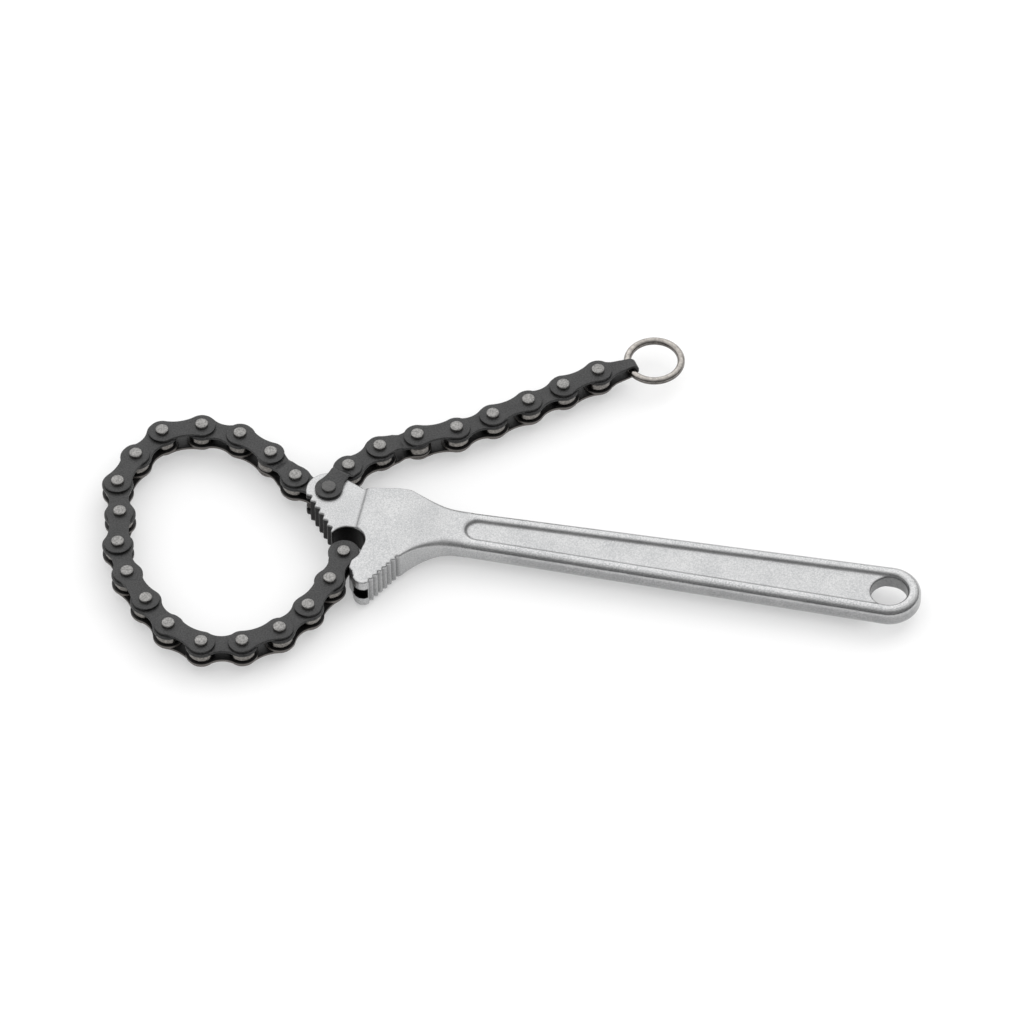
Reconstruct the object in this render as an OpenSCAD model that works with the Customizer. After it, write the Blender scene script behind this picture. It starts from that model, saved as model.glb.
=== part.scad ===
// Chain wrench. A forged handle ends in a toothed horn and a lower jaw with a throat between them.
// One roller chain is riveted into the horn: its long end loops round the work and hooks into the
// throat, and its short end runs free to a pull ring. Lengths are in millimetres. The origin is the
// middle of the hang hole, the head lies towards -X, and Z runs along the chain's pins.

/* [Chain] */
// Distance from pin to pin
pitch = 12.7; // [12.5:0.1:13.2]
// Height of an inner plate over its round ends
plate_h = 9.9; // [9.4:0.1:10.2]
// Height of an outer plate over its round ends
outer_plate_h = 8.7; // [8.2:0.1:9.4]
// Height of a plate at its waist
waist_h = 6.2; // [5.6:0.1:7]
// Gap between the two inner plates
inner_gap = 3.1; // [2.6:0.1:4]
// Thickness of an inner plate
inner_t = 1; // [0.9:0.05:1.5]
// Thickness of an outer plate
outer_t = 0.9; // [0.8:0.05:1.3]
// Diameter of a pin
pin_d = 3.66; // [3.4:0.02:3.9]
// Diameter of a pin's riveted end
pin_end_d = 4.1; // [4:0.05:4.6]
// Height of a pin's riveted end over the plate
pin_end_h = 1.1; // [0.6:0.1:1.4]
// Outside diameter of a bush
bush_d = 5.2; // [4.9:0.05:5.5]
// Outside diameter of a roller
roller_d = 8.5; // [7.2:0.05:8.8]

/* [Grip] */
// Distance along X from the hang hole to the anchor rivet
handle_reach = 179.5; // [150:0.5:230]
// Width of the grip at the hang hole end
grip_end_w = 20; // [19:0.5:24]
// Width of the grip at the neck
grip_neck_w = 15; // [14:0.5:16]
// Thickness of the grip
grip_t = 7; // [6.5:0.25:9]
// Diameter of the hang hole
hang_hole_d = 11.5; // [8:0.25:11.75]
// Width of the rim around the sunk panels
rim_w = 4; // [2.5:0.1:4.2]
// Depth of each sunk panel
panel_depth = 1.2; // [0.6:0.1:1.8]

/* [Head] */
// Distance of the anchor rivet from the grip's middle line
anchor_side = 6.2; // [5.8:0.1:6.6]
// Distance along X from the anchor rivet to the neck
head_l = 43; // [41:0.5:48]
// Distance of the head's back edge from the grip's middle line
back_side = 10.8; // [10:0.1:11.4]
// Thickness of each cheek beside the horn's slot
cheek_t = 2.15; // [1.8:0.05:2.6]
// Step from the horn's cheek up to the head's face
horn_step = 0.5; // [0.4:0.1:1.2]
// Number of teeth on the horn's flank
horn_teeth = 6; // [4:1:7]
// Depth of the horn's teeth
horn_tooth_h = 1.2; // [0.6:0.1:1.4]
// Number of serrations on the lower jaw's outer edge
jaw_teeth = 7; // [5:1:9]
// Depth of the lower jaw's serrations
jaw_tooth_h = 0.9; // [0.5:0.1:1.2]
// Height of the slot in the lower jaw's tip
tip_slot_h = 3.4; // [2:0.1:4]

/* [Anchor rivet] */
// Diameter of the anchor rivet's heads
anchor_head_d = 4.5; // [4.4:0.1:5.6]
// Height of the anchor rivet's heads
anchor_head_h = 0.7; // [0.5:0.1:1.2]

/* [Pull ring] */
// Outside diameter of the ring
ring_d = 19.5; // [17:0.5:24]
// Diameter of the ring's wire
wire_d = 2.4; // [2:0.1:2.8]
// Distance from the last pin to the middle of the strap's eye
eye_reach = 10.8; // [9.2:0.1:12]
// Half width of the end strap at its eye
eye_half_w = 1.9; // [1.6:0.1:2.2]

/* [Clearances] */
// Side play between an inner link and the outer plates, each side
side_play = 0.065; // [0.05:0.005:0.1]
// Radial running fit of pins in bushes and bushes in rollers
run_fit = 0.04; // [0.02:0.01:0.08]
// Radial gap of a pressed joint
press_fit = 0.02; // [0.01:0.005:0.03]
// Gap between the horn's slot or cheek and the link beside it
cheek_gap = 0.15; // [0.1:0.05:0.25]
// Gap between a link's round end and what it swings past
swing_gap = 0.55; // [0.4:0.05:0.7]
// Gap between the hooked link's round end and the throat
throat_gap = 0.65; // [0.5:0.05:0.8]
// Gap between the ring's wire and the strap's eye
eye_gap = 0.5; // [0.4:0.05:0.7]

/* [Hidden] */
$fn = 72;
loop_count = 18;
tail_count = 8;
// Heading of the first link from the anchor rivet, then the bend at each next pin, in degrees
loop_bends = [158, -18, 12, 22, 28, 40, 14, 30, -6, 16, 14, 6, 20, 36, 24, 22, 12, 12];
tail_bends = [73, -22, -18, -8, 12, 2, 2, 0, -8];
// Turn of the first loop link when the chain is swung open
loop_open = 12;

anchor = [-handle_reach, anchor_side];
function polar(c, r, a) = c + r * [cos(a), sin(a)];
function heading(bends, i) = i == 0 ? bends[0] : heading(bends, i - 1) + bends[i];
function pin_at(bends, i) = i == 0 ? anchor : polar(pin_at(bends, i - 1), pitch, heading(bends, i - 1));
function two(i) = str(i < 10 ? "0" : "", i);

// The first link of each run that steps from outside the link before it to inside the link after it
loop_offset = 2;
tail_offset = 3;

// Link plates: two round ends of radius r, joined by a waist that is hollowed by a circle on each side
plate_r = plate_h / 2;
outer_r = outer_plate_h / 2;
function waist_r(r) = (pow(pitch / 2, 2) + pow(waist_h / 2, 2) - r * r) / (2 * r - waist_h);
function waist_x(r) = r * pitch / 2 / (r + waist_r(r)) + 0.3;
inner_w = inner_gap + 2 * inner_t;
outer_in = inner_w + 2 * side_play;
outer_w = outer_in + 2 * outer_t;

// Horn, throat and jaw
slot_h = inner_w + 2 * cheek_gap;
slot_r = plate_r + 0.4;
horn_t = slot_h + 2 * cheek_t;
head_t = horn_t + 2 * horn_step;
horn_r = pitch - plate_r - swing_gap;
straddle_in = horn_t + 2 * cheek_gap;
anchor_l = straddle_in + 2 * outer_t;
neck_x = head_l - handle_reach;
step_x = anchor[0] + 12.1;
back_r = 55;
web_r = 22;
neck_run = 3;
neck_dip = 0.5;
hook = pin_at(loop_bends, loop_count);
hook_a = heading(loop_bends, loop_count - 1);
throat_r = plate_r + throat_gap;
throat_x = 3.2;
function from_hook(along, side) =
    hook + along * [cos(hook_a), sin(hook_a)] + side * [sin(hook_a), -cos(hook_a)];
horn_edge = polar(anchor, horn_r - 0.05, 205);
horn_foot = from_hook(throat_x + (throat_r - 0.3) * cos(78), -(throat_r - 0.3) * sin(78));
lip = from_hook(-6.6, throat_r - 1.8);
jaw_flank = from_hook(-8.4, throat_r - 0.1);
jaw_tip = from_hook(-11.3, throat_r + 1.6);
jaw_chin = from_hook(-12.3, throat_r + 2.7);
jaw_nose = from_hook(-12.8, throat_r + 4.2);
jaw_toe = from_hook(-12.5, throat_r + 5.7);
jaw_corner = from_hook(-11.5, throat_r + 6.8);
jaw_root = from_hook(2.2, throat_r + 12.3);

// End strap and ring
wire_r = wire_d / 2;
eye_r = wire_r + eye_gap;
fold_r = eye_r + outer_t;
strap_in = inner_w - 2 * outer_t;
strap_flat = plate_r + 0.5;
ring_r = (ring_d - wire_d) / 2;

// Puts a piece that is drawn along +X from the origin onto link i of a run
module on_link(bends, i) {
    translate(pin_at(bends, i - 1)) rotate(heading(bends, i - 1)) children();
}

module both_sides() {
    children();
    mirror([0, 0, 1]) children();
}

// Notches with straight sides between two points, cut to the left of the way from a to b
module notches(a, b, count, depth) {
    step = (b - a) / count;
    left = [-step[1], step[0]] / norm(step);
    for (i = [0:count - 1])
        polygon([
            a + step * (i + 0.08) - left * 1.5, a + step * (i + 0.08),
            a + step * (i + 0.5) + left * depth,
            a + step * (i + 0.92), a + step * (i + 0.92) - left * 1.5
        ]);
}

module plate_blank(r) {
    for (x = [0, pitch]) translate([x, 0]) circle(r = r);
    difference() {
        translate([waist_x(r), -r]) square([pitch - 2 * waist_x(r), 2 * r]);
        for (s = [-1, 1]) translate([pitch / 2, s * (waist_h / 2 + waist_r(r))]) circle(r = waist_r(r));
    }
}

module plate(r, thick, low, hole_d) {
    translate([0, 0, low]) linear_extrude(height = thick) difference() {
        plate_blank(r);
        for (x = [0, pitch]) translate([x, 0]) circle(d = hole_d);
    }
}

// A turned pin whose two ends are spread over the plates beside it
module pin(over_plates, end_d, end_h) {
    half = over_plates / 2 + press_fit;
    top = half + end_h;
    bevel = end_h * 0.35;
    rotate_extrude() polygon([
        [0, -top], [end_d / 2 - bevel, -top], [end_d / 2, bevel - top], [end_d / 2, -half],
        [pin_d / 2, -half], [pin_d / 2, half],
        [end_d / 2, half], [end_d / 2, top - bevel], [end_d / 2 - bevel, top], [0, top]
    ]);
}

module bush() {
    difference() {
        cylinder(d = bush_d, h = inner_w, center = true);
        cylinder(d = pin_d + 2 * run_fit, h = inner_w + 2, center = true);
    }
}

module inner_link(bends, i) {
    color("#34353a") on_link(bends, i) {
        both_sides() plate(plate_r, inner_t, inner_gap / 2, bush_d + 2 * press_fit);
        for (x = [0, pitch]) translate([x, 0, 0]) bush();
    }
}

module outer_link(bends, i) {
    color("#3c3d42") on_link(bends, i) {
        both_sides() plate(outer_r, outer_t, outer_in / 2, pin_d + 2 * press_fit);
        for (x = [0, pitch]) translate([x, 0, 0]) pin(outer_w, pin_end_d, pin_end_h);
    }
}

// Two plates that step from a wide gap at their first hole to a narrow gap at their second one
module stepped_plates(wide, narrow, step_in, step_out, wide_hole_d, narrow_hole_d) {
    slope = atan2((wide - narrow) / 2, step_out - step_in);
    shift = outer_t * tan(slope / 2);
    both_sides() difference() {
        intersection() {
            linear_extrude(height = wide) plate_blank(outer_r);
            rotate([90, 0, 0]) linear_extrude(height = 2 * plate_h, center = true) polygon([
                [-plate_h, wide / 2], [step_in, wide / 2], [step_out, narrow / 2],
                [pitch + plate_h, narrow / 2], [pitch + plate_h, narrow / 2 + outer_t],
                [step_out + shift, narrow / 2 + outer_t], [step_in + shift, wide / 2 + outer_t],
                [-plate_h, wide / 2 + outer_t]
            ]);
        }
        cylinder(d = wide_hole_d, h = 2 * wide);
        translate([pitch, 0, 0]) cylinder(d = narrow_hole_d, h = 2 * wide);
    }
}

// Link that is an outer link at its first pin and an inner link at its second one
module offset_link(bends, i) {
    color("#3c3d42") on_link(bends, i) {
        stepped_plates(outer_in, strap_in, plate_r + 0.3, pitch - plate_r - 0.35,
            pin_d + 2 * press_fit, bush_d + 2 * press_fit);
        pin(outer_w, pin_end_d, pin_end_h);
        translate([pitch, 0, 0]) bush();
    }
}

// Last link of the loop: its end pin has no outer plates and is what hooks into the throat
module hook_link() {
    inner_link(loop_bends, loop_count);
    color("#a9a9a8") translate(hook) pin(inner_w, pin_end_d, pin_end_h);
}

// Rollers sit on the bushes, one at each pin of a run
module roller(place) {
    color("#c9c7c2") translate(place) difference() {
        cylinder(d = roller_d, h = inner_gap - 0.1, center = true);
        cylinder(d = bush_d + 2 * run_fit, h = inner_gap, center = true);
    }
}

// First link of the free run: its plates straddle the horn, then step in to the chain's width
module anchor_link() {
    color("#3c3d42") on_link(tail_bends, 1) {
        stepped_plates(straddle_in, outer_in, pitch - plate_r, pitch - pin_end_d / 2 - 0.85,
            pin_d + 2 * run_fit, pin_d + 2 * press_fit);
        translate([pitch, 0, 0]) pin(outer_w, pin_end_d, pin_end_h);
    }
}

module anchor_rivet() {
    color("#3a3b40") translate(anchor) pin(anchor_l + 2 * cheek_gap, anchor_head_d, anchor_head_h);
}

// Strip folded round the ring's wire, with the last pin's bush between its two legs
module end_strap() {
    reach = eye_reach - strap_flat;
    function touch(z, r) = atan2(z, -reach) - acos(r / norm([reach, z]));
    out_a = touch(inner_w / 2, fold_r - 0.02);
    in_a = touch(strap_in / 2, eye_r + 0.02);
    color("#3c3d42") on_link(tail_bends, tail_count + 1) {
        difference() {
            intersection() {
                linear_extrude(height = 2 * inner_w, center = true) union() {
                    circle(r = plate_r);
                    polygon([
                        [0.6, plate_r - 0.2], [2.6, plate_r - 1], [5.4, eye_half_w + 0.8],
                        [eye_reach, eye_half_w], [eye_reach + fold_r + 1, eye_half_w - 0.2],
                        [eye_reach + fold_r + 1, 0.2 - eye_half_w], [eye_reach, -eye_half_w],
                        [5.4, -eye_half_w - 0.8], [2.6, 1 - plate_r], [0.6, 0.2 - plate_r]
                    ]);
                }
                rotate([90, 0, 0]) linear_extrude(height = 2 * plate_h, center = true) difference() {
                    union() {
                        polygon([
                            [-plate_h, -inner_w / 2], [strap_flat, -inner_w / 2],
                            polar([eye_reach, 0], fold_r - 0.02, -out_a),
                            polar([eye_reach, 0], fold_r - 0.02, out_a),
                            [strap_flat, inner_w / 2], [-plate_h, inner_w / 2]
                        ]);
                        translate([eye_reach, 0]) circle(r = fold_r);
                    }
                    polygon([
                        [-plate_h - 1, -strap_in / 2], [strap_flat, -strap_in / 2],
                        polar([eye_reach, 0], eye_r - 0.02, -in_a),
                        polar([eye_reach, 0], eye_r - 0.02, in_a),
                        [strap_flat, strap_in / 2], [-plate_h - 1, strap_in / 2]
                    ]);
                    translate([eye_reach, 0]) circle(r = eye_r);
                }
            }
            cylinder(d = bush_d + 2 * press_fit, h = 4 * inner_w, center = true);
        }
        bush();
    }
}

module ring() {
    color("#b3aa9c") on_link(tail_bends, tail_count + 1)
        translate([eye_reach + ring_r - 0.12, 0, 0])
            rotate_extrude() translate([ring_r, 0]) circle(d = wire_d);
}

module grip_plan() {
    flank = grip_end_w / 2 - 0.15;
    lean = (flank - grip_neck_w / 2) / -neck_x;
    circle(d = grip_end_w);
    polygon([
        [neck_x - 4, grip_neck_w / 2 - 4 * lean], [0, flank],
        [0, -flank], [neck_x - 4, 4 * lean - grip_neck_w / 2]
    ]);
}

module head_plan() {
    difference() {
        union() {
            translate(anchor) circle(r = horn_r);
            polygon([
                [neck_x, back_side], [anchor[0] + head_l / 2, back_side], [anchor[0] + head_l / 4, back_side - 2],
                polar(anchor, horn_r - 0.05, 50), anchor, horn_edge, horn_foot,
                lip, jaw_flank, jaw_tip, jaw_chin, jaw_nose, jaw_toe, jaw_corner, jaw_root, [neck_x, jaw_root[1]]
            ]);
        }
        translate([neck_x + neck_run, grip_neck_w / 2 + back_r - neck_dip]) circle(r = back_r);
        translate([neck_x + neck_run, neck_dip - grip_neck_w / 2 - web_r]) circle(r = web_r);
        translate(from_hook(throat_x, 0)) circle(r = throat_r);
        polygon([
            from_hook(throat_x, throat_r - 0.1), from_hook(-1.8, throat_r - 0.1),
            from_hook(-4.6, throat_r - 1.4), from_hook(-8.2, throat_r - 1.1),
            from_hook(-9.5, throat_r - 4.6), from_hook(-6, -6), from_hook(throat_x, 0.3 - throat_r)
        ]);
        notches(horn_edge, horn_foot + (horn_edge - horn_foot) * 0.06, horn_teeth, horn_tooth_h);
        notches(jaw_corner, jaw_root, jaw_teeth, jaw_tooth_h);
        notches(jaw_flank, jaw_tip + (jaw_flank - jaw_tip) * 0.2, 3, jaw_tooth_h * 0.5);
    }
}

module panel_plan() {
    end_x = neck_x + 6;
    end_r = grip_neck_w / 2 + 0.1 - rim_w;
    hole_end_r = grip_end_w / 2 - rim_w;
    circle(r = hole_end_r);
    translate([end_x, 0]) circle(r = end_r);
    polygon([
        [end_x, end_r - 0.1], [0, hole_end_r - 0.1],
        [0, 0.1 - hole_end_r], [end_x, 0.1 - end_r]
    ]);
}

module handle() {
    far = anchor[0] - 60;
    taper_x = neck_x - 0.44 * head_l;
    color("#c3c5c6") difference() {
        union() {
            linear_extrude(height = grip_t, center = true) union() grip_plan();
            intersection() {
                linear_extrude(height = 2 * head_t, center = true) head_plan();
                rotate([90, 0, 0]) linear_extrude(height = 200, center = true) polygon([
                    [far, horn_t / 2], [step_x, horn_t / 2], [step_x, head_t / 2], [taper_x, head_t / 2],
                    [neck_x - 2, grip_t / 2 - 0.05], [neck_x + 5, grip_t / 2 - 0.05],
                    [neck_x + 5, 0.05 - grip_t / 2], [neck_x - 2, 0.05 - grip_t / 2],
                    [taper_x, -head_t / 2], [step_x, -head_t / 2], [step_x, -horn_t / 2], [far, -horn_t / 2]
                ]);
            }
        }
        cylinder(d = hang_hole_d, h = 2 * grip_t, center = true);
        both_sides() translate([0, 0, grip_t / 2 - panel_depth]) linear_extrude(height = grip_t) union() panel_plan();
        translate([anchor[0], anchor[1], -slot_h / 2]) linear_extrude(height = slot_h) union() {
            circle(r = slot_r);
            for (turn = [0:loop_open / 2:loop_open])
                rotate(loop_bends[0] - turn) translate([0.5, 0.1 - slot_r]) square([2 * pitch, 2 * slot_r - 0.2]);
        }
        translate(anchor) cylinder(d = pin_d + 2 * press_fit, h = 2 * head_t, center = true);
        translate(from_hook(-13.6, throat_r + 3.2)) cylinder(r = 3.6, h = tip_slot_h, center = true);
    }
}

handle();
anchor_rivet();
inner_link(loop_bends, 1);  // loop_link_01
offset_link(loop_bends, loop_offset);  // loop_link_02
for (i = [loop_offset + 1:2:loop_count])
    outer_link(loop_bends, i);
for (i = [loop_offset + 2:2:loop_count - 1])
    inner_link(loop_bends, i);
hook_link();  // loop_link_18
anchor_link();
inner_link(tail_bends, 2);  // tail_link_02
offset_link(tail_bends, tail_offset);  // tail_link_03
for (i = [tail_offset + 1:2:tail_count])
    outer_link(tail_bends, i);
for (i = [tail_offset + 2:2:tail_count])
    inner_link(tail_bends, i);
end_strap();
ring();
for (i = [0:loop_count])
    roller(pin_at(loop_bends, i));
for (i = [1:tail_count])
    roller(pin_at(tail_bends, i));
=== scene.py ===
# Chain wrench: the visual model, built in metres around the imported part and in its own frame.
import math

import bpy
import numpy as np
from mathutils import Euler, Matrix


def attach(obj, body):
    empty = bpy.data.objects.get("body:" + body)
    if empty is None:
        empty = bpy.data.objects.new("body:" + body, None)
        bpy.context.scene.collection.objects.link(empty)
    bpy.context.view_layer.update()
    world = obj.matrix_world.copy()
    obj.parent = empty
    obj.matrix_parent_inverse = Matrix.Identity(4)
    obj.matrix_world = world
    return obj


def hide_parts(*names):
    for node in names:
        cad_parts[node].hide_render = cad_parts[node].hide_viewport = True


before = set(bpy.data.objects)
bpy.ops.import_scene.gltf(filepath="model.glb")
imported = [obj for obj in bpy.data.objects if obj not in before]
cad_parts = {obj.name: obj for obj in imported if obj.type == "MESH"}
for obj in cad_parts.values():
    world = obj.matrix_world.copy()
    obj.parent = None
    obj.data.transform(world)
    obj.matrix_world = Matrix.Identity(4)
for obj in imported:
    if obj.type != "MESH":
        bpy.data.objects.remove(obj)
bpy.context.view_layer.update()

# Handle and head: one drop forging in alloy steel, trimmed, shot blasted all over and nickel plated.
# The grip is sunk on both faces. The horn is sawn through for the chain's end, and the throat below
# it catches the hooked link. Its edges are rounded by the dies and the blasting.
MM = 0.001
PITCH = 12.7
ANCHOR = np.array([-179.5, 6.2])
LOOP_BENDS = [158, -18, 12, 22, 28, 40, 14, 30, -6, 16, 14, 6, 20, 36, 24, 22, 12, 12]
GRIP_END_R, GRIP_NECK_R, GRIP_HALF_T = 10.0, 7.5, 3.5
NECK_X, NECK_LAP, LAP_TAPER, NECK_BLEND = -136.5, 6, 0.1, 1.0
STEP_X, STEP_LEAD, STEP_RUN = -167.4, 0.9, 1.2
TAPER_X, TAPER_LEAD, TAPER_RUN = -155.5, 1.5, 21.0
HEAD_END_X, BACK_Y = NECK_X + 3, 10.8
BACK_HOLLOW_R, WEB_HOLLOW_R, HOLLOW_DEPTH = 55, 22, 0.5
HORN_HALF_T, HEAD_HALF_T = 4.85, 5.35
HORN_R, SLOT_R, SLOT_HALF = 7.2, 5.35, 2.7
SLOT_START, SLOT_EASE, SLOT_HEADINGS = 0.5, 0.1, (158, 152, 146)
RIVET_HOLE_R = 1.85
HORN_BACK_A, HORN_FACE_A, HORN_INSET = 50, 205, 0.05
HORN_TOOTH_H, HORN_TEETH, HORN_SHORT = 1.2, 6, 0.06
THROAT_R, THROAT_X = 5.6, 3.2
FOOT_A, FOOT_INSET = 78, 0.3
JAW_TOOTH_H, JAW_TEETH = 0.9, 7
FLANK_TOOTH_H, FLANK_TEETH, FLANK_SHORT = 0.45, 3, 0.2
TIP_SLOT_R, TIP_SLOT_HALF, TIP_ROUND = 3.6, 1.7, 0.5
HOLE_R, HOLE_ROUND = 5.75, 0.6
RIM_W, PANEL_DEPTH = 4.0, 1.2
HEAD_ROUND, RIM_ROUND, PANEL_ROUND, PANEL_FILLET = 0.45, 2.4, 0.7, 1.6


def turned(a):
    """Unit vector at angle a in degrees, in the plan."""
    return np.array([math.cos(math.radians(a)), math.sin(math.radians(a))])


def chain_run(bends):
    """Pin places and link headings of a run of chain: each heading is the one before it plus its bend."""
    headings = np.cumsum(bends)
    steps = PITCH * np.column_stack([np.cos(np.radians(headings)), np.sin(np.radians(headings))])
    return np.vstack([ANCHOR, ANCHOR + np.cumsum(steps, axis=0)]), headings


LOOP_PINS, LOOP_HEADINGS = chain_run(LOOP_BENDS)
HOOK, HOOK_A = LOOP_PINS[-1], LOOP_HEADINGS[-1]


def from_hook(along, side):
    """Point at a distance along the hooked link and to its right, from the hook pin."""
    return HOOK + along * turned(HOOK_A) + side * turned(HOOK_A - 90)


HORN_BACK = ANCHOR + (HORN_R - HORN_INSET) * turned(HORN_BACK_A)
HORN_EDGE = ANCHOR + (HORN_R - HORN_INSET) * turned(HORN_FACE_A)
FOOT_ALONG, FOOT_SIDE = (THROAT_R - FOOT_INSET) * turned(FOOT_A)
HORN_FOOT = from_hook(THROAT_X + FOOT_ALONG, -FOOT_SIDE)
FLANK_TOP, FLANK_TIP = from_hook(-8.4, 5.5), from_hook(-11.3, 7.2)
JAW_CORNER, JAW_ROOT = from_hook(-11.5, 12.4), from_hook(2.2, 17.9)
TIP_SLOT = from_hook(-13.6, 8.8)


def disc(x, y, centre, radius):
    """Signed distance to a circle: how far the point is from the centre, less the radius."""
    return np.hypot(x - centre[0], y - centre[1]) - radius


def polygon(x, y, corners):
    """Signed distance to a polygon: the least distance to a side, negative where a ray crosses the
    sides an odd number of times."""
    least = np.full(x.shape, 1e9)
    inside = np.zeros(x.shape, bool)
    corners = np.asarray(corners, float)
    for a, b in zip(corners, np.roll(corners, -1, axis=0)):
        ab = b - a
        t = np.clip(((x - a[0]) * ab[0] + (y - a[1]) * ab[1]) / (ab @ ab), 0, 1)
        least = np.minimum(least, np.hypot(x - a[0] - t * ab[0], y - a[1] - t * ab[1]))
        if a[1] != b[1]:
            crossing = (a[1] > y) != (b[1] > y)
            inside ^= crossing & (x < a[0] + (y - a[1]) * ab[0] / ab[1])
    return np.where(inside, -least, least)


def notches(x, y, a, b, count, depth):
    """Union of triangular cuts between two points, to the left of the way from a to b. Each cut starts
    after a narrow land and reaches out past the line that it cuts."""
    land, past = 0.08, 1.5
    step = (b - a) / count
    left = np.array([-step[1], step[0]]) / np.hypot(*step)
    cut = np.full(x.shape, 1e9)
    for i in range(count):
        start, middle, end = a + step * (i + land), a + step * (i + 0.5), a + step * (i + 1 - land)
        corners = [start - left * past, start, middle + left * depth, end, end - left * past]
        cut = np.minimum(cut, polygon(x, y, corners))
    return cut


def soft_max(a, b, blend):
    """Larger of two distances, with their crease rounded over a width of blend."""
    h = np.maximum(blend - np.abs(a - b), 0) / blend
    return np.maximum(a, b) + h * h * blend / 4


def share_of(t):
    """Number held between 0 and 1, to be used as a share."""
    return np.clip(t, 0, 1)


def smooth(t):
    """Ease from 0 to 1 with level ends: three squares less two cubes."""
    t = share_of(t)
    return t * t * (3 - 2 * t)


def throat(x, y):
    """Signed distance to the throat: its round seat and the mouth that opens from it."""
    mouth = polygon(x, y, [
        from_hook(THROAT_X, 5.5), from_hook(-1.8, 5.5), from_hook(-4.6, 4.2), from_hook(-8.2, 4.5),
        from_hook(-9.5, 1), from_hook(-6, -6), from_hook(THROAT_X, -5.3)])
    return np.minimum(disc(x, y, from_hook(THROAT_X, 0), THROAT_R), mouth)


def head_outline(x, y):
    """Signed distance to the head's plan: horn disc and jaw together, less the neck's two hollows, the
    throat with its mouth, and the teeth. The rows on the horn and the flank end short of their edges."""
    body = polygon(x, y, [
        (HEAD_END_X, BACK_Y), (ANCHOR[0] + 21.5, BACK_Y), (ANCHOR[0] + 10.75, 8.8), HORN_BACK,
        ANCHOR, HORN_EDGE, HORN_FOOT, from_hook(-6.6, 3.8), FLANK_TOP, FLANK_TIP, from_hook(-12.3, 8.3),
        from_hook(-12.8, 9.8), from_hook(-12.5, 11.3), JAW_CORNER, JAW_ROOT, (HEAD_END_X, JAW_ROOT[1])])
    body = np.minimum(body, disc(x, y, ANCHOR, HORN_R))
    horn_end = HORN_FOOT + (HORN_EDGE - HORN_FOOT) * HORN_SHORT
    flank_end = FLANK_TIP + (FLANK_TOP - FLANK_TIP) * FLANK_SHORT
    cuts = [
        disc(x, y, (HEAD_END_X, GRIP_NECK_R + BACK_HOLLOW_R - HOLLOW_DEPTH), BACK_HOLLOW_R),
        disc(x, y, (HEAD_END_X, HOLLOW_DEPTH - GRIP_NECK_R - WEB_HOLLOW_R), WEB_HOLLOW_R),
        throat(x, y),
        notches(x, y, HORN_EDGE, horn_end, HORN_TEETH, HORN_TOOTH_H),
        notches(x, y, JAW_CORNER, JAW_ROOT, JAW_TEETH, JAW_TOOTH_H),
        notches(x, y, FLANK_TOP, flank_end, FLANK_TEETH, FLANK_TOOTH_H),
    ]
    for cut in cuts:
        body = np.maximum(body, -cut)
    return body


def tapered_slot(x, y, x0, r0, r1):
    """Signed distance to a rounded bar between (x0, 0) and the origin, whose radius goes from r0 to r1."""
    t = share_of(x / x0)
    return np.hypot(x - t * x0, y) - (r1 + (r0 - r1) * t)


def grip_outline(x, y):
    """Signed distance to the grip's plan: a bar that widens from inside the neck to the hang hole."""
    return tapered_slot(x, y, NECK_X - NECK_LAP, GRIP_NECK_R - LAP_TAPER, GRIP_END_R)


def panel_outline(x, y):
    """Signed distance to the sunk panel's plan: the grip's bar from beyond the neck, less the rim's width."""
    return tapered_slot(x, y, NECK_X + NECK_LAP, GRIP_NECK_R + LAP_TAPER - RIM_W, GRIP_END_R - RIM_W)


def met(plan, thick, edge):
    """Signed distance to what two distances share, with the edge between them rounded."""
    a, b = plan + edge, thick + edge
    return np.minimum(np.maximum(a, b), 0) + np.hypot(np.maximum(a, 0), np.maximum(b, 0)) - edge


def forging(x, y, z):
    """Signed distance to the forging, in millimetres: plan and thickness met with a rounded edge, less
    the sunk panels, the hang hole, the horn's slot, which is open over the first link's swing, the slot
    in the jaw's tip and the rivet's hole."""
    xf, yf, zf = x[:, :, 0], y[:, :, 0], np.abs(z)
    rise = smooth((xf - STEP_X + STEP_LEAD) / STEP_RUN)
    fall = smooth((xf - TAPER_X + TAPER_LEAD) / TAPER_RUN)
    half = HORN_HALF_T + (HEAD_HALF_T - HORN_HALF_T) * rise
    half = (half + (GRIP_HALF_T - HEAD_HALF_T) * fall)[:, :, None]
    edge = (HEAD_ROUND + (RIM_ROUND - HEAD_ROUND) * fall)[:, :, None]
    head = met(head_outline(xf, yf)[:, :, None], zf - half, edge)
    grip = met(grip_outline(xf, yf)[:, :, None], zf - GRIP_HALF_T, RIM_ROUND)
    whole = -soft_max(-head, -grip, NECK_BLEND)
    panel = met(panel_outline(xf, yf)[:, :, None], GRIP_HALF_T - PANEL_DEPTH - zf, PANEL_ROUND)
    whole = soft_max(whole, -panel, PANEL_FILLET)
    whole = soft_max(whole, -disc(xf, yf, (0, 0), HOLE_R)[:, :, None], HOLE_ROUND)
    slot = disc(xf, yf, ANCHOR, SLOT_R)
    for a in SLOT_HEADINGS:
        along, across = turned(a), turned(a + 90)
        u = (xf - ANCHOR[0]) * along[0] + (yf - ANCHOR[1]) * along[1] - SLOT_START
        v = (xf - ANCHOR[0]) * across[0] + (yf - ANCHOR[1]) * across[1]
        slot = np.minimum(slot, np.maximum(np.abs(v) - SLOT_R + SLOT_EASE, -u))
    whole = np.maximum(whole, -np.maximum(slot[:, :, None], zf - SLOT_HALF))
    tip = disc(xf, yf, TIP_SLOT, TIP_SLOT_R)[:, :, None]
    whole = np.maximum(whole, -soft_max(tip, zf - TIP_SLOT_HALF, TIP_ROUND))
    return np.maximum(whole, -disc(xf, yf, ANCHOR, RIVET_HOLE_R)[:, :, None])


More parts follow.
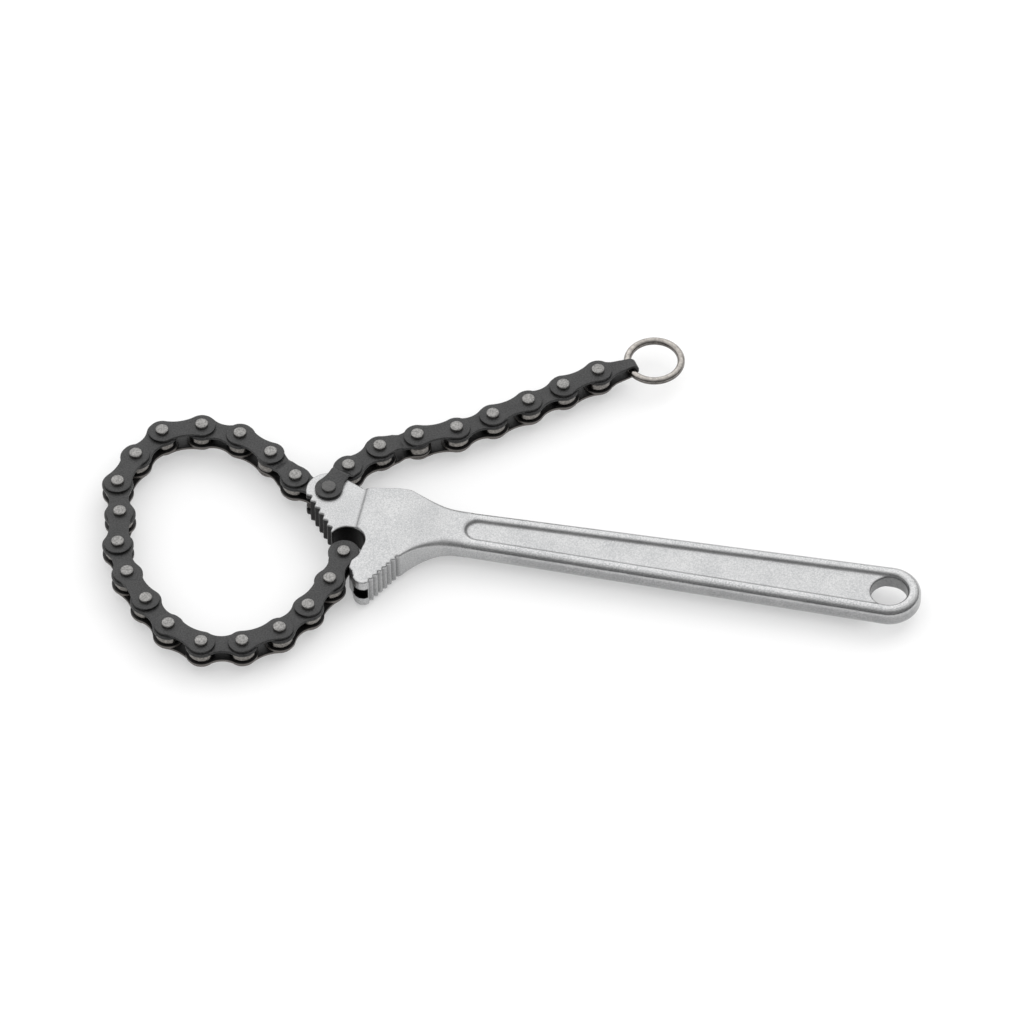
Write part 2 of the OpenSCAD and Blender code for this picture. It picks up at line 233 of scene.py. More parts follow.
def net_surface(field, axes):
    """Vertices and quads of a field's zero surface. Each grid cell that the surface crosses gets one
    vertex, the mean of the crossings on its edges, and each crossed grid edge joins its four cells."""
    inside = field < 0
    cells = np.array(field.shape) - 1
    total = np.zeros((*cells, 3))
    count = np.zeros(tuple(cells))
    for axis in range(3):
        others = [a for a in range(3) if a != axis]
        lower = [slice(None)] * 3
        upper = [slice(None)] * 3
        lower[axis], upper[axis] = slice(0, -1), slice(1, None)
        f0, f1 = field[tuple(lower)], field[tuple(upper)]
        crossed = inside[tuple(lower)] != inside[tuple(upper)]
        part = np.where(crossed, f0 / np.where(crossed, f0 - f1, 1), 0)
        for i in (0, 1):
            for j in (0, 1):
                pick = [slice(None)] * 3
                pick[others[0]] = slice(i, i + cells[others[0]])
                pick[others[1]] = slice(j, j + cells[others[1]])
                hit = crossed[tuple(pick)]
                count += hit
                total[..., axis] += part[tuple(pick)]
                total[..., others[0]] += hit * i
                total[..., others[1]] += hit * j
    used = count > 0
    number = np.full(tuple(cells), -1)
    number[used] = np.arange(used.sum())
    index = np.argwhere(used) + total[used] / count[used][:, None]
    vertices = np.column_stack([np.interp(index[:, a], np.arange(len(axes[a])), axes[a]) for a in range(3)])
    quads = []
    for axis in range(3):
        b, c = (axis + 1) % 3, (axis + 2) % 3
        lower = [slice(1, -1)] * 3
        upper = [slice(1, -1)] * 3
        lower[axis], upper[axis] = slice(0, -1), slice(1, None)
        start, end = inside[tuple(lower)], inside[tuple(upper)]
        at = np.argwhere(start != end)
        at[:, b] += 1
        at[:, c] += 1
        leaving = start[start != end]
        back_b, back_c = np.eye(3, dtype=int)[b], np.eye(3, dtype=int)[c]
        ring = [at, at - back_b, at - back_b - back_c, at - back_c]
        faces = np.column_stack([number[tuple(r.T)] for r in ring])
        quads.append(np.where(leaving[:, None], faces, faces[:, ::-1]))
    return vertices, np.vstack(quads)


def piece(name, vertices, faces, material, sharp=None):
    """Makes a mesh object at the origin from points in millimetres and faces of one size."""
    mesh = bpy.data.meshes.new(name)
    faces = np.asarray(faces)
    sides = faces.shape[1]
    mesh.vertices.add(len(vertices))
    mesh.vertices.foreach_set("co", (np.asarray(vertices) * MM).astype(np.float32).ravel())
    mesh.loops.add(faces.size)
    mesh.loops.foreach_set("vertex_index", faces.astype(np.int32).ravel())
    mesh.polygons.add(len(faces))
    mesh.polygons.foreach_set("loop_start", np.arange(0, faces.size, sides, dtype=np.int32))
    mesh.polygons.foreach_set("use_smooth", np.ones(len(faces), bool))
    mesh.update(calc_edges=True)
    mesh.validate()
    if sharp:
        mesh.set_sharp_from_angle(angle=math.radians(sharp))
    mesh.materials.append(material)
    made = bpy.data.objects.new(name, mesh)
    bpy.context.scene.collection.objects.link(made)
    return made


def put(made, body, node):
    """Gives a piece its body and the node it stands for."""
    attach(made, body)
    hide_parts(node)


def colour(code):
    """Linear colour from an sRGB hex code."""
    parts = [int(code[i:i + 2], 16) / 255 for i in (1, 3, 5)]
    return (*[c / 12.92 if c <= 0.04045 else ((c + 0.055) / 1.055) ** 2.4 for c in parts], 1)


def add(tree, kind, links=(), settings=None, **values):
    """Adds a shader node with its settings and inputs by name, and links it from (output, input) pairs."""
    made = tree.nodes.new(kind)
    for name, value in (settings or {}).items():
        setattr(made, name, value)
    for name, value in values.items():
        made.inputs[name.replace("_", " ")].default_value = value
    for output, name in links:
        tree.links.new(output, made.inputs[name])
    return made


def metal(name, dark, light, metallic, rough, grain_mm, depth_mm, blotch_mm):
    """Metal whose colour and roughness drift over blotches of one size, under grain of another. Real grain
    is finer than a pixel of the render, so it is drawn coarser, as wide as it needs to show."""
    made = bpy.data.materials.new(name)
    made.use_nodes = True
    tree = made.node_tree
    shader = tree.nodes["Principled BSDF"]
    where = [(add(tree, "ShaderNodeTexCoord").outputs["Object"], "Vector")]
    blotch = add(tree, "ShaderNodeTexNoise", where, Scale=1000 / blotch_mm, Detail=3).outputs["Fac"]
    grain = add(tree, "ShaderNodeTexNoise", where, Scale=1000 / grain_mm, Detail=4).outputs["Fac"]
    both = add(tree, "ShaderNodeMix", [(blotch, "A"), (grain, "B")], Factor=0.75)
    ramp = add(tree, "ShaderNodeValToRGB", [(both.outputs["Result"], "Fac")])
    for stop, place, code in zip(ramp.color_ramp.elements, (0.36, 0.64), (dark, light)):
        stop.position = place
        stop.color = colour(code)
    tree.links.new(ramp.outputs["Color"], shader.inputs["Base Color"])
    spread = add(tree, "ShaderNodeMapRange", [(blotch, "Value")], To_Min=rough - 0.06, To_Max=rough + 0.06)
    tree.links.new(spread.outputs["Result"], shader.inputs["Roughness"])
    bump = add(tree, "ShaderNodeBump", [(grain, "Height")], Strength=1.0, Distance=depth_mm * MM)
    tree.links.new(bump.outputs["Normal"], shader.inputs["Normal"])
    shader.inputs["Metallic"].default_value = metallic
    return made


def stained(made, share, code):
    """Lays a second colour over a metal's own, by a share from 0 to 1."""
    tree = made.node_tree
    base = tree.nodes["Principled BSDF"].inputs["Base Color"]
    mix = add(tree, "ShaderNodeMix", [(share, "Factor")], {"data_type": "RGBA"})
    own, over = [i for i in mix.inputs if i.type == "RGBA"]
    over.default_value = colour(code)
    tree.links.new(base.links[0].from_socket, own)
    tree.links.new(next(o for o in mix.outputs if o.type == "RGBA"), base)


# Nickel over a shot-blasted forging: a pale satin grey whose fine pits scatter the light. The throat, the
# slots, the teeth's roots, the step's foot and the walls of the hole and the grip get painted shade, and
# hands rub the grip's rim smooth
nickel = metal("blasted nickel plate", "#9fa0a1", "#c2c2c2", metallic=1.0, rough=0.38,
               grain_mm=0.4, depth_mm=0.04, blotch_mm=7.0)
tree = nickel.node_tree
shader = tree.nodes["Principled BSDF"]
# Painted shade: near black laid over the nickel by a share for each point of the forging
painted_shade = add(tree, "ShaderNodeAttribute", settings={"attribute_name": "painted_shade"}).outputs["Fac"]
stained(nickel, painted_shade, "#100f0f")
handled = add(tree, "ShaderNodeAttribute", settings={"attribute_name": "handled"}).outputs["Fac"]
smoother = add(tree, "ShaderNodeMapRange", [(handled, "Value")], To_Min=1.0, To_Max=0.6)
blasted = shader.inputs["Roughness"].links[0].from_socket
rubbed_rough = add(tree, "ShaderNodeMath", [(blasted, 0), (smoother.outputs["Result"], 1)],
                   {"operation": "MULTIPLY"})
tree.links.new(rubbed_rough.outputs["Value"], shader.inputs["Roughness"])
shallower = add(tree, "ShaderNodeMapRange", [(handled, "Value")], To_Min=1.0, To_Max=0.3)
tree.links.new(shallower.outputs["Result"], shader.inputs["Normal"].links[0].from_node.inputs["Strength"])

# The forging's grid is fine over the head and the hole's end, and coarser along the plain grip
FINE, COARSE = 0.32, 0.7
STRETCHES = ((-188, -124, FINE), (-124, -12, COARSE), (-12, 11.5, FINE))
axes = [np.concatenate([np.arange(*stretch) for stretch in STRETCHES]),
        np.arange(-31.5, 14.6, FINE), np.arange(-6.24, 6.3, FINE)]
points, faces = net_surface(forging(*np.meshgrid(*axes, indexing="ij")), axes)
handle = piece("handle_forging", points, faces, nickel)

# Shares of painted shade, in the throat, the slots and the teeth's roots, at the step's foot and on the
# walls of the hole and the grip, and of the rubbed rim, for each point of the forging
px, py, pz = points[:, 0], points[:, 1], np.abs(points[:, 2])
deep = share_of((HEAD_HALF_T - 0.7 - pz) / 0.5)
in_throat = share_of((0.45 - np.abs(throat(px, py))) / 0.2) * deep
in_tip = share_of((0.5 - disc(px, py, TIP_SLOT, TIP_SLOT_R)) / 0.2) * (pz < TIP_SLOT_HALF + 0.25)
horn_side = polygon(px, py, [ANCHOR, HORN_EDGE, from_hook(4.3, -5.2), from_hook(8, -5)])
horn_roots = 0.95 * share_of(horn_side / 0.3 + 6) * deep * (px < -172) * (py < 4)
jaw_side = polygon(px, py, [JAW_CORNER, JAW_ROOT, from_hook(3, 15), from_hook(-10, 10)])
jaw_roots = (0.12 + 0.4 * share_of(-jaw_side / JAW_TOOTH_H)) * share_of(1 - jaw_side / 0.4) * deep
step_foot = 0.4 * share_of(1 - np.abs(px - STEP_X + 0.3) / 0.9) * (pz > HORN_HALF_T - 0.2)
hole_wall = 0.35 * share_of(1.5 - np.abs(disc(px, py, (0, 0), HOLE_R)) / 0.3)
hole_wall = hole_wall * (pz < GRIP_HALF_T - PANEL_DEPTH)
# Painted shade on the grip's side wall, growing from the neck towards the hole
grip_wall_shade = 0.25 * share_of(1 + grip_outline(px, py) / 0.3) * share_of((2.2 - pz) / 1.2)
grip_wall_shade = grip_wall_shade * share_of((px - NECK_X) / 25)
shares = {
    "painted_shade": np.maximum.reduce([in_throat, in_tip, horn_roots, jaw_roots, step_foot, hole_wall, grip_wall_shade]),
    "handled": share_of((panel_outline(px, py) + 0.3) / 0.8) * share_of((px - NECK_X + 4) / 10),
}
for name, share in shares.items():
    handle.data.attributes.new(name, "FLOAT", "POINT").data.foreach_set("value", share.astype(np.float32))
put(handle, "handle", "handle")

# Anchor rivet: a plain steel rivet, blackened like the plates, that is headed over on both sides of
# the first free link and holds both runs of the chain in the horn.
PIN_R, CREASE_A = 1.83, 40
RIVET_HALF, RIVET_HEAD_R, RIVET_HEAD_H = 6.07, 2.25, 0.7


def lathe(profile, centre, sides=40):
    """Surface of revolution about a vertical line: each profile point (radius, height) is swept round
    the centre. A profile that starts and ends on the axis closes by itself; others close end to end."""
    profile = np.asarray(profile, float)
    closed = profile[0, 0] > 0
    t = np.linspace(0, 2 * math.pi, sides, endpoint=False)
    x = np.outer(profile[:, 0], np.cos(t)) + centre[0]
    y = np.outer(profile[:, 0], np.sin(t)) + centre[1]
    ring = np.stack([x, y, np.repeat(profile[:, 1:], sides, axis=1)], axis=2)
    rows = len(profile)
    number = np.arange(rows * sides).reshape(rows, sides)
    after = np.roll(number, -1, axis=0)
    if not closed:
        number, after = number[:-1], after[:-1]
    faces = np.stack([number, np.roll(number, -1, axis=1), np.roll(after, -1, axis=1), after], axis=2)
    return ring.reshape(-1, 3), faces.reshape(-1, 4)


def rivet_profile(half, end_r, end_h):
    """Half outline of a pin, from its lower end to its upper one: shank, spread end with a rounded
    shoulder, and a low crown."""
    shoulder = 0.3 * end_h
    top = half + end_h
    t = np.linspace(0, math.pi / 2, 5)
    crown = [(end_r * k, top - 0.05 * (k / 0.8) ** 2) for k in (0.8, 0.55, 0.3, 0.0)]
    edge = [(end_r - shoulder * (1 - math.cos(a)), top - 0.08 - shoulder * (1 - math.sin(a))) for a in t]
    upper = [(PIN_R, half), (end_r, half), *edge, *crown]
    return [(r, -z) for r, z in upper[::-1]] + upper


# Rubbed black oxide: the rivet's heads are burnished by the hammering, so that they are a little paler
# than the plates
rubbed = metal("rubbed black oxide", "#454545", "#5e5d5c", metallic=0.4, rough=0.42,
               grain_mm=0.4, depth_mm=0.04, blotch_mm=1.5)
profile = rivet_profile(RIVET_HALF, RIVET_HEAD_R, RIVET_HEAD_H)
rivet = piece("anchor_rivet_shank", *lathe(profile, ANCHOR), rubbed, CREASE_A)
put(rivet, "handle", "anchor_rivet")

# Loop of roller chain: link plates pressed from steel strip, in pairs. Inner links are pressed onto
# bushes, outer links are riveted over pins, and the second link steps from outside to inside.
PLATE_R, OUTER_R, WAIST = 4.95, 4.35, 3.1
INNER_LOW, INNER_HIGH, OUTER_LOW, OUTER_T = 1.55, 2.55, 2.615, 0.9
BUSH_R, PIN_END_R, PIN_END_H = 2.6, 2.05, 1.1
PRESS_FIT, RUN_FIT, CHEEK_GAP = 0.02, 0.04, 0.15
PLATE_ROUND, PLATE_CREASE_A, BEND_RINGS, BUSH_BEVEL = 0.16, 35, 14, 0.05


def half_plate(hole_r, end_r, rings, edge):
    """Half of a link plate as a grid round its hole: the first parameter is the angle about the hole,
    the second goes round the section, up the hole, over the top, round the edge and back below.
    Gives plan x, plan y and height from 0 to 1. The edge's rounding is in millimetres in the plan and
    a share of the height."""
    half = PITCH / 2
    waist_r = (half ** 2 + WAIST ** 2 - end_r ** 2) / (2 * (end_r - WAIST))
    rise = WAIST + waist_r
    t_mid, t_end = math.atan2(WAIST, half), math.atan2(rise, half)
    mid = np.linspace(-t_mid, t_mid, 9)
    flank = np.linspace(t_mid, t_end, 10)[1:]
    end = np.linspace(t_end, 2 * math.pi - t_end, 34)[1:-1]
    angle = np.concatenate([mid, flank, end, 2 * math.pi - flank[::-1]])
    ray = np.column_stack([np.cos(angle), np.sin(angle)])
    side = np.where(np.sin(angle) >= 0, 1.0, -1.0)
    middle = np.column_stack([np.full(len(angle), half), side * rise])
    along = (ray * middle).sum(1)
    to_waist = along - np.sqrt(np.maximum(along ** 2 - half ** 2 - rise ** 2 + waist_r ** 2, 0))
    folded = np.abs(np.where(angle > math.pi, angle - 2 * math.pi, angle))
    is_mid, is_end = folded < t_mid + 1e-9, folded > t_end + 1e-9
    inner_mid = folded < t_mid - 1e-6
    reach = np.where(is_end, end_r, np.where(is_mid, half / np.cos(angle), to_waist))
    rim = ray * reach[:, None]
    out = np.where(is_end[:, None], ray, (middle - rim) / waist_r)
    out[inner_mid] = 0
    s = np.linspace(0, math.pi / 2, 5)
    inset, drop = edge * (1 - np.sin(s)), edge * (1 - np.cos(s))
    up = [rim - out * i for i in inset]
    share = np.linspace(0, 1, rings + 2)[1:-1]
    hole = ray * hole_r
    face = [hole + (up[0] - hole) * k for k in share]
    plan = np.array([hole, *face, *up, *up[::-1], *face[::-1], hole])
    keep = np.where(inner_mid, 0.0, 1.0)
    top = [np.ones(len(angle))] * (rings + 1) + [1 - d * keep for d in drop]
    height = np.array(top + [1 - h for h in top[::-1]])
    return np.concatenate([plan, height[..., None]], axis=2).transpose(1, 0, 2)


def in_place(points, at, heading):
    """Turns points that are drawn along +X to a heading and moves them to a place in the plan."""
    c, s = turned(heading)
    x, y, z = points.T
    return np.column_stack([at[0] + c * x - s * y, at[1] + s * x + c * y, z])


def corners_of(grid):
    """Values at each cell's four corners of a grid that closes both ways, in the order of a face."""
    beside = np.roll(grid, -1, 0)
    return np.stack([grid, beside, np.roll(beside, -1, 1), np.roll(grid, -1, 1)], 2)


def link_plates(at, heading, low_at, thick, end_r, holes, rings=1):
    """Both plates of a link in place. low_at gives the height of the plate's inner face for a distance
    along the link. The two halves of each plate are welded on its middle line."""
    points, faces = [], []
    first = 0
    for hole_r, flip in ((holes[0], 1), (holes[1], -1)):
        grid = half_plate(hole_r, end_r, rings, PLATE_ROUND / thick)
        x = grid[..., 0] if flip > 0 else PITCH - grid[..., 0]
        y = grid[..., 1] * flip
        z = low_at(x) + grid[..., 2] * thick
        quad = corners_of(np.arange(x.size).reshape(x.shape) + first)
        weld = corners_of(np.abs(x - PITCH / 2) < 1e-6).all(axis=2)
        points.append(np.column_stack([x.ravel(), y.ravel(), z.ravel()]))
        faces.append(quad[~weld])
        first += x.size
    points, faces = np.vstack(points), np.vstack(faces)
    _, keep, where = np.unique(points.round(5), axis=0, return_index=True, return_inverse=True)
    points, faces = points[keep], where.ravel()[faces]
    under = points * [1, 1, -1]
    points, faces = np.vstack([points, under]), np.vstack([faces, faces[:, ::-1] + len(points)])
    return in_place(points, at, heading), faces


def merged(parts):
    """One mesh from several (vertices, faces) pairs."""
    starts = np.cumsum([0] + [len(v) for v, _ in parts])
    return np.vstack([v for v, _ in parts]), np.vstack([f + n for (_, f), n in zip(parts, starts)])


def level(height):
    """Height of an inner face that is the same all along."""
    return lambda x: 0 * x + height


def stepped(start, end, step_in, step_out):
    """Height of an inner face that runs level at start, slopes between two places and is level at end."""
    return lambda x: np.interp(x, [step_in, step_out], [start, end])


def tube(centre, inner, outer, half, bevel):
    """Short tube with bevelled rims, as a closed profile swept round."""
    high = half - bevel
    profile = [(inner, -high), (inner + bevel, -half), (outer - bevel, -half), (outer, -high),
               (outer, high), (outer - bevel, half), (inner + bevel, half), (inner, high)]
    return lathe(profile, centre)


# Black oxide on pressed and tumbled strip: charcoal grey, slightly oily, with a faint grain. The sheared
# edges are burnished by the die and catch the light of the table. The faces that look to the chain's
# middle get painted shade, nearly black, and the lower plates' edges get a painted highlight
black_oxide = metal("black oxide on pressed steel", "#141415", "#383838", metallic=0.0, rough=0.42,
                    grain_mm=0.5, depth_mm=0.05, blotch_mm=5.0)
tree = black_oxide.node_tree
shader = tree.nodes["Principled BSDF"]
shader.inputs["Specular IOR Level"].default_value = 0.45
own = add(tree, "ShaderNodeTexCoord").outputs
height = add(tree, "ShaderNodeSeparateXYZ", [(own["Object"], "Vector")]).outputs["Z"]
facing = add(tree, "ShaderNodeSeparateXYZ", [(own["Normal"], "Vector")]).outputs["Z"]
flat = add(tree, "ShaderNodeMath", [(facing, 0)], {"operation": "ABSOLUTE"}).outputs["Value"]
sheared = add(tree, "ShaderNodeMapRange", [(flat, "Value")], From_Min=0.1, From_Max=0.7,
              To_Min=0.55, To_Max=0.0)
tree.links.new(sheared.outputs["Result"], shader.inputs["Metallic"])
# Painted shade: near black laid over the faces that look inward to the chain's middle
inward = add(tree, "ShaderNodeMath", [(height, 0), (facing, 1)], {"operation": "MULTIPLY"}).outputs["Value"]
inner_face_shade = add(tree, "ShaderNodeMapRange", [(inward, "Value")], From_Min=-1.2 * MM, From_Max=-0.3 * MM,
           To_Min=0.85, To_Max=0.0)
stained(black_oxide, inner_face_shade.outputs["Result"], "#0b0a0a")
# Painted highlight: a pale warm grey laid over the steep faces of the lower plates
edges = add(tree, "ShaderNodeMapRange", [(flat, "Value")], From_Min=0.1, From_Max=0.7, To_Min=0.7, To_Max=0.0)
below = add(tree, "ShaderNodeMapRange", [(height, "Value")], From_Min=-1.6 * MM, From_Max=-1.2 * MM,
            To_Min=1.0, To_Max=0.0)
lower_edge_highlight = add(tree, "ShaderNodeMath", [(edges.outputs["Result"], 0), (below.outputs["Result"], 1)],
           {"operation": "MULTIPLY"})
stained(black_oxide, lower_edge_highlight.outputs["Value"], "#77726e")
# Riveted pin ends: plain steel dulled by the riveting tool, mid grey and mottled
riveted = metal("riveted pin steel", "#6b6a69", "#9d9c9a", metallic=1.0, rough=0.4,
                grain_mm=0.5, depth_mm=0.06, blotch_mm=1.2)


def make_link(name, kind, at, heading):
    """Plates, bushes and pins of one link, from its kind: inner, outer, offset, anchor or hook."""
    ends = [np.asarray(at), np.asarray(at) + PITCH * turned(heading)]
    pin_hole, bush_hole = PIN_R + PRESS_FIT, BUSH_R + PRESS_FIT
    if kind in ("inner", "hook"):
        inner_t = INNER_HIGH - INNER_LOW
        plates = link_plates(at, heading, level(INNER_LOW), inner_t, PLATE_R, (bush_hole, bush_hole))
        bushes, pins = ends, []
    elif kind == "outer":
        plates = link_plates(at, heading, level(OUTER_LOW), OUTER_T, OUTER_R, (pin_hole, pin_hole))
        bushes, pins = [], ends
    elif kind == "offset":
        low_at = stepped(OUTER_LOW, INNER_HIGH - OUTER_T, PLATE_R + 0.3, PITCH - PLATE_R - 0.35)
        plates = link_plates(at, heading, low_at, OUTER_T, OUTER_R, (pin_hole, bush_hole), BEND_RINGS)
        bushes, pins = ends[1:], ends[:1]
    else:
        low_at = stepped(HORN_HALF_T + CHEEK_GAP, OUTER_LOW, PITCH - PLATE_R, PITCH - PIN_END_R - 0.85)
        plates = link_plates(at, heading, low_at, OUTER_T, OUTER_R, (PIN_R + RUN_FIT, pin_hole), BEND_RINGS)
        bushes, pins = [], ends[1:]
    put(piece(name + "_plates", *plates, black_oxide, PLATE_CREASE_A), name, name)
    if kind == "hook":
        profile = rivet_profile(INNER_HIGH + PRESS_FIT, PIN_END_R, PIN_END_H)
        hook_pin = piece(name + "_hook_pin", *lathe(profile, ends[1]), riveted, CREASE_A)
        put(hook_pin, name, name)
    if bushes:
        parts = [tube(c, PIN_R + RUN_FIT, BUSH_R, INNER_HIGH, BUSH_BEVEL) for c in bushes]
        put(piece(name + "_bushes", *merged(parts), black_oxide, CREASE_A), name, name)
    if pins:
        profile = rivet_profile(OUTER_LOW + OUTER_T + PRESS_FIT, PIN_END_R, PIN_END_H)
        parts = [lathe(profile, c) for c in pins]
        put(piece(name + "_pins", *merged(parts), riveted, CREASE_A), name, name)


LOOP_KINDS = ["inner", "offset"] + ["outer", "inner"] * 7 + ["outer", "hook"]
for i, kind in enumerate(LOOP_KINDS):
    make_link(f"loop_link_{i + 1:02d}", kind, LOOP_PINS[i], LOOP_HEADINGS[i])

# Free run of the same chain: the first link straddles the horn on the anchor rivet and steps in to the
# chain's width, and the third one steps again so that the run ends in an outer link.
TAIL_BENDS = [73, -22, -18, -8, 12, 2, 2, 0, -8]
TAIL_PINS, TAIL_HEADINGS = chain_run(TAIL_BENDS)
TAIL_KINDS = ["anchor", "inner", "offset", "outer", "inner", "outer", "inner", "outer"]
for i, kind in enumerate(TAIL_KINDS):
    make_link("anchor_link" if i == 0 else f"tail_link_{i + 1:02d}", kind, TAIL_PINS[i], TAIL_HEADINGS[i])

# Rollers: short tubes rolled from steel strip, hardened and tumbled bright. One is loose on every bush,
# between the inner plates, and runs on the work.
ROLLER_R, ROLLER_HALF, ROLLER_BEVEL = 4.25, 1.5, 0.2
# Tumbled bright steel: pale grey with soft dents that break its highlights. Painted shade darkens it
# towards the rims beside the plates and leaves a bright band in the middle
bright = metal("tumbled bright steel", "#62605d", "#94908c", metallic=1.0, rough=0.2,
               grain_mm=0.6, depth_mm=0.02, blotch_mm=1.6)
tree = bright.node_tree
place = add(tree, "ShaderNodeTexCoord").outputs["Object"]
height = add(tree, "ShaderNodeSeparateXYZ", [(place, "Vector")]).outputs["Z"]
off_middle = add(tree, "ShaderNodeMath", [(height, 0)], {"operation": "ABSOLUTE"}).outputs["Value"]
# Painted shade: near black laid over the roller towards its top and bottom
rim_shade = add(tree, "ShaderNodeMapRange", [(off_middle, "Value")], From_Min=0.5 * MM, From_Max=1.5 * MM,
          To_Min=0.0, To_Max=0.8)
stained(bright, rim_shade.outputs["Result"], "#0b0a0a")
for run, pins in (("loop", LOOP_PINS), ("tail", TAIL_PINS[1:9])):
    for i, centre in enumerate(pins):
        name = f"{run}_roller_{i + 1:02d}"
        shape = tube(centre, BUSH_R + RUN_FIT, ROLLER_R, ROLLER_HALF, ROLLER_BEVEL)
        put(piece(name + "_tube", *shape, bright, CREASE_A), name, name)

# End strap: steel strip folded round the ring's wire, with its two legs on the last pin's bush. It is
# black like the plates, and narrows from the pin to the fold.
EYE_REACH, EYE_R, STRAP_T = 10.8, 1.7, 0.9
LAST_PIN, STRAP_A = TAIL_PINS[8], TAIL_HEADINGS[8]


def folded_strap(x, y, z):
    """Signed distance to the strap, drawn along +X from its pin: within half the strip's thickness of a
    line that runs along the leg and round the wire, and within the outline of a round end that tapers
    to the fold, less the hole for the bush."""
    xf, yf, zf = x[:, :, 0], y[:, :, 0], np.abs(z)
    leg = INNER_HIGH - STRAP_T / 2
    fold = EYE_R + STRAP_T / 2
    high = np.interp(x, [PLATE_R + 0.5, EYE_REACH], [leg, fold])
    off = np.where(x < EYE_REACH, zf - high, np.hypot(x - EYE_REACH, zf) - fold)
    edge = np.array([(0.6, 4.75), (2.6, 3.95), (5.4, 2.7), (EYE_REACH, 1.9), (EYE_REACH + 4, 1.7)])
    taper = polygon(xf, yf, np.vstack([edge, edge[::-1] * [1, -1]]))
    plan = np.minimum(disc(xf, yf, (0, 0), PLATE_R), taper)
    plan = np.maximum(plan, -disc(xf, yf, (0, 0), BUSH_R + PRESS_FIT))
    return met(plan[:, :, None], np.abs(off) - STRAP_T / 2, PLATE_ROUND)


axes = [np.arange(-5.4, EYE_REACH + 3.2, 0.2), np.arange(-5.4, 5.5, 0.2), np.arange(-3.15, 3.2, 0.14)]
points, faces = net_surface(folded_strap(*np.meshgrid(*axes, indexing="ij")), axes)
strap = piece("end_strap_fold", in_place(points, LAST_PIN, STRAP_A), faces, black_oxide)
put(strap, "end_strap", "end_strap")
shape = tube(LAST_PIN, PIN_R + RUN_FIT, BUSH_R, INNER_HIGH, BUSH_BEVEL)
bush = piece("end_strap_bush", *shape, bright, CREASE_A)
put(bush, "end_strap", "end_strap")

# Pull ring: a round of drawn steel wire, bent and butted. It hangs loose in the strap's eye, and a finger
# or a hook pulls the free run by it.
RING_R, WIRE_R, EYE_PLAY = 8.55, 1.2, 0.12


def torus(ring_r, wire_r, around=96, across=24):
    """Ring of round wire: angle round the ring and angle round the wire."""
    u = np.linspace(0, 2 * math.pi, around, endpoint=False)[:, None]
    v = np.linspace(0, 2 * math.pi, across, endpoint=False)[None, :]
    reach = ring_r + wire_r * np.cos(v)
    grid = np.stack([reach * np.cos(u), reach * np.sin(u), wire_r * np.sin(v) + 0 * u], 2)
    faces = corners_of(np.arange(around * across).reshape(around, across))
    return grid.reshape(-1, 3), faces.reshape(-1, 4)


# Drawn wire: smooth and fairly shiny, a little brown, with faint streaks, and with painted shade at its
# sides, where its surface faces sideways
wire = metal("drawn steel wire", "#8f8b87", "#b3aea9", metallic=1.0, rough=0.14,
             grain_mm=1.2, depth_mm=0.01, blotch_mm=3.0)
tree = wire.node_tree
normal = add(tree, "ShaderNodeTexCoord").outputs["Normal"]
facing = add(tree, "ShaderNodeSeparateXYZ", [(normal, "Vector")]).outputs["Z"]
flat = add(tree, "ShaderNodeMath", [(facing, 0)], {"operation": "ABSOLUTE"}).outputs["Value"]
# Painted shade: a dark brown laid over the wire where its surface faces sideways
side_shade = add(tree, "ShaderNodeMapRange", [(flat, "Value")], From_Min=0.1, From_Max=0.75, To_Min=0.7, To_Max=0.0)
stained(wire, side_shade.outputs["Result"], "#1c1a19")
points, faces = torus(RING_R, WIRE_R)
points = points + [EYE_REACH + RING_R - EYE_PLAY, 0, 0]
ring = piece("ring_wire_round", in_place(points, LAST_PIN, STRAP_A), faces, wire)
put(ring, "ring", "ring")

# Table and light: a white sheet under the tool, a soft window light from behind it on the right, and a
# pale room that is brightest behind it on the left.
FLOOR_Z, FLOOR_HALF = -6.95, 3000
BRIGHTEST_WAY = (-0.35, 0.70, 0.62)
corners = FLOOR_HALF * np.array([[-1, -1, 0], [1, -1, 0], [1, 1, 0], [-1, 1, 0]]) + [0, 0, FLOOR_Z]
# Matt white paper: it has no shine, and glows a little so that it stays white under the soft shadow
paper = bpy.data.materials.new("matt white paper")
paper.use_nodes = True
sheet = {"Base Color": colour("#d6d6d6"), "Emission Color": colour("#ffffff"), "Emission Strength": 0.28,
         "Roughness": 0.9, "Specular IOR Level": 0.0}
for name, value in sheet.items():
    paper.node_tree.nodes["Principled BSDF"].inputs[name].default_value = value
piece("table", corners, [[0, 1, 2, 3]], paper)

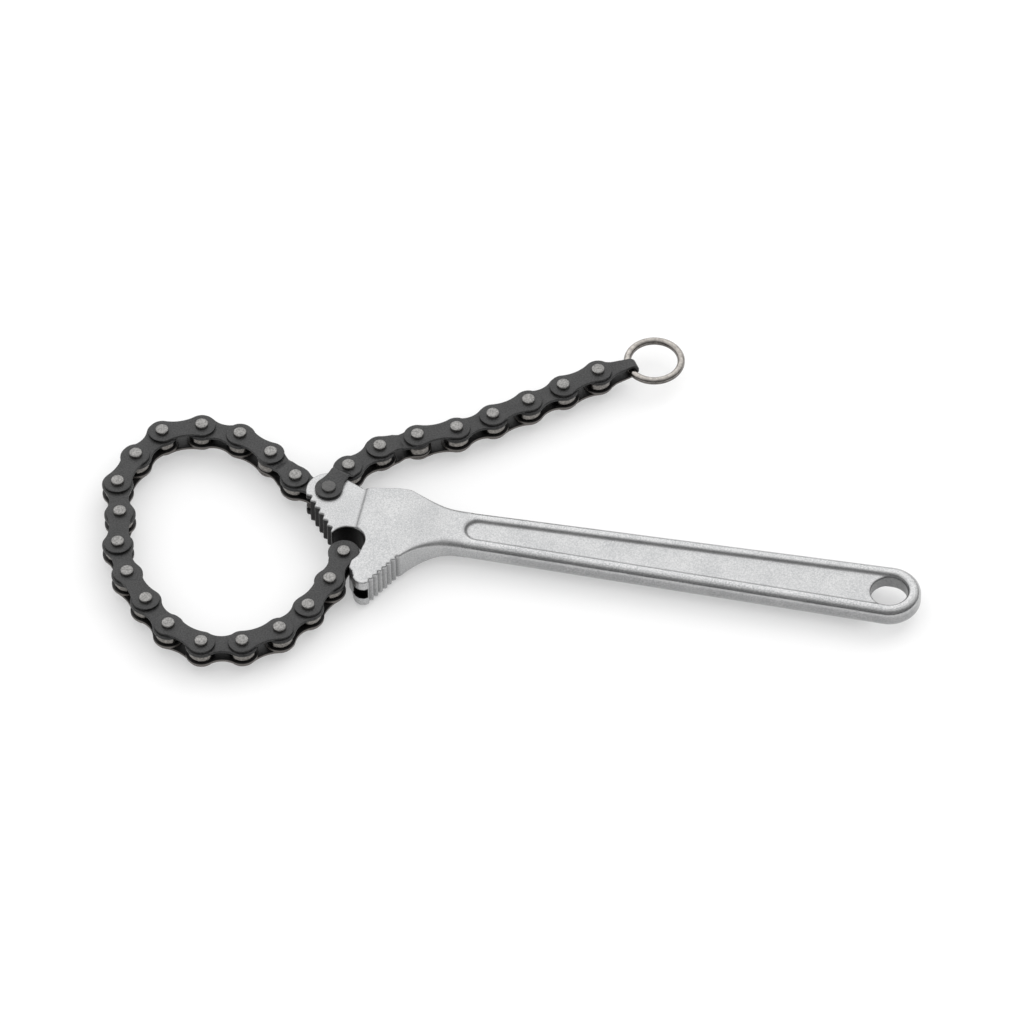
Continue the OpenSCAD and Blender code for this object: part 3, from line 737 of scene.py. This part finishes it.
world = bpy.data.worlds.new("pale room")
bpy.context.scene.world = world
world.use_nodes = True
tree = world.node_tree
tree.nodes.clear()
path = add(tree, "ShaderNodeLightPath").outputs
way = add(tree, "ShaderNodeTexCoord").outputs["Generated"]
lobe = add(tree, "ShaderNodeVectorMath", [(way, 0)], {"operation": "DOT_PRODUCT"})
lobe.inputs[1].default_value = BRIGHTEST_WAY
brightness = add(tree, "ShaderNodeMapRange", [(lobe.outputs["Value"], "Value")], From_Min=-0.1, From_Max=1.0,
                 To_Min=0.3, To_Max=1.7)
height = add(tree, "ShaderNodeSeparateXYZ", [(way, "Vector")]).outputs["Z"]
walls = add(tree, "ShaderNodeMapRange", [(height, "Value")], From_Min=0.0, From_Max=0.4,
            To_Min=0.35, To_Max=1.0)
shaded = add(tree, "ShaderNodeMath", [(brightness.outputs["Result"], 0), (walls.outputs["Result"], 1)],
             {"operation": "MULTIPLY"})
even = add(tree, "ShaderNodeMix", [(path["Is Diffuse Ray"], "Factor"), (shaded.outputs["Value"], "A")], B=1.1)
room = add(tree, "ShaderNodeBackground", [(even.outputs["Result"], "Strength")], Color=(1, 1, 1, 1))
white = add(tree, "ShaderNodeBackground", Color=(1, 1, 1, 1), Strength=1.0)
seen = add(tree, "ShaderNodeMixShader", [(path["Is Camera Ray"], "Fac"), (room.outputs["Background"], 1),
                                         (white.outputs["Background"], 2)])
add(tree, "ShaderNodeOutputWorld", [(seen.outputs["Shader"], "Surface")])


def aimed(place, target):
    """Turn that points a light or a camera from a place to a target, with its top up."""
    x, y, z = np.array(target) - np.array(place)
    return Euler((math.atan2(math.hypot(x, y), -z), 0, math.atan2(y, x) - math.pi / 2))


WINDOW, LIT_PLACE = (0.45, 0.85, 1.0), (-0.13, 0.0, 0.0)
window_data = bpy.data.lights.new("window", "AREA")
window_data.shape = "SQUARE"
window_data.size = 1.0
window_data.energy = 3.6
window = bpy.data.objects.new("window", window_data)
window.location = WINDOW
window.rotation_euler = aimed(WINDOW, LIT_PLACE)
window.visible_glossy = False
bpy.context.scene.collection.objects.link(window)

# Camera: a long lens from the front and above, as far off as the photograph's slight perspective asks,
# and leant a little to the side as the photograph is.
EYE, LOOK, ROLL = (0.3174, -2.0438, 2.3830), (-0.12208, 0.01201, 0.0), -0.9
camera_data = bpy.data.cameras.new("camera")
camera_data.sensor_width = 36
camera_data.lens = 356.2
camera = bpy.data.objects.new("camera", camera_data)
camera.location = EYE
leant = aimed(EYE, LOOK).to_matrix() @ Matrix.Rotation(math.radians(ROLL), 3, "Z")
camera.rotation_euler = leant.to_euler()
bpy.context.scene.collection.objects.link(camera)
bpy.context.scene.camera = camera
bpy.context.scene.view_settings.view_transform = "Standard"
